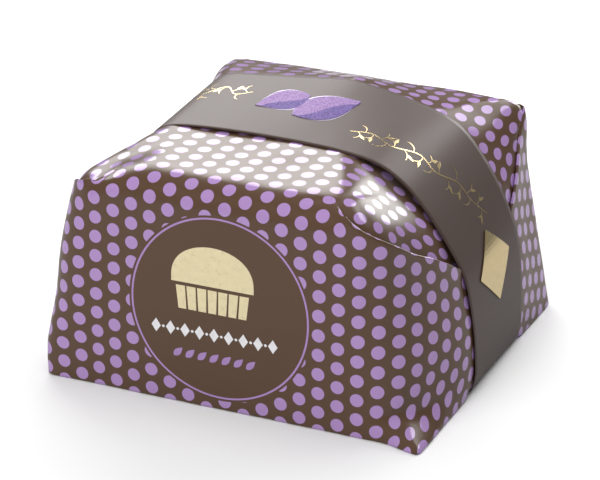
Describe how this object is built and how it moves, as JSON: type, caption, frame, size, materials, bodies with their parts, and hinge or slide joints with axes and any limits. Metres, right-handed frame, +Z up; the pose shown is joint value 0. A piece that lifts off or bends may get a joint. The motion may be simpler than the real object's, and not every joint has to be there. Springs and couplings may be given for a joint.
{
  "type": "gift-wrapped panettone",
  "caption": "Low panettone hand-wrapped in dotted satin paper as a domed parcel with leaning ends, held by a wide printed card band with a foil tag.",
  "frame": {"origin": "under the middle of the foot, on the surface it stands on", "axes": "+X to the right end with the tag, -Y to the front face with the medallion, +Z up"},
  "size_m": [0.2554, 0.228, 0.1588],
  "materials": {
    "wrapping_paper": "satin brown ground printed with glossy lilac dots",
    "band_card": "satin taupe card with gold foil and glitter print",
    "gold_foil": "polished gold foil on card",
    "label_paper": "matt white paper, bare",
    "cradle_board": "plain greyish brown board",
    "clear_film": "clear crinkled film",
    "clip_metal": "gold-coloured clip",
    "mould_paper": "brown corrugated baking paper",
    "crust": "baked crust, matt with a slight egg sheen"
  },
  "bodies": {
    "root": {"wrapping_paper": "wrapping_paper", "card_band": "band_card", "gold_tag": "gold_foil", "base_label": "label_paper", "card_cradle": "cradle_board", "clear_bag": "clear_film", "bag_tie": "clip_metal", "baking_mould": "mould_paper", "loaf": "crust"}
  },
  "joints": []
}
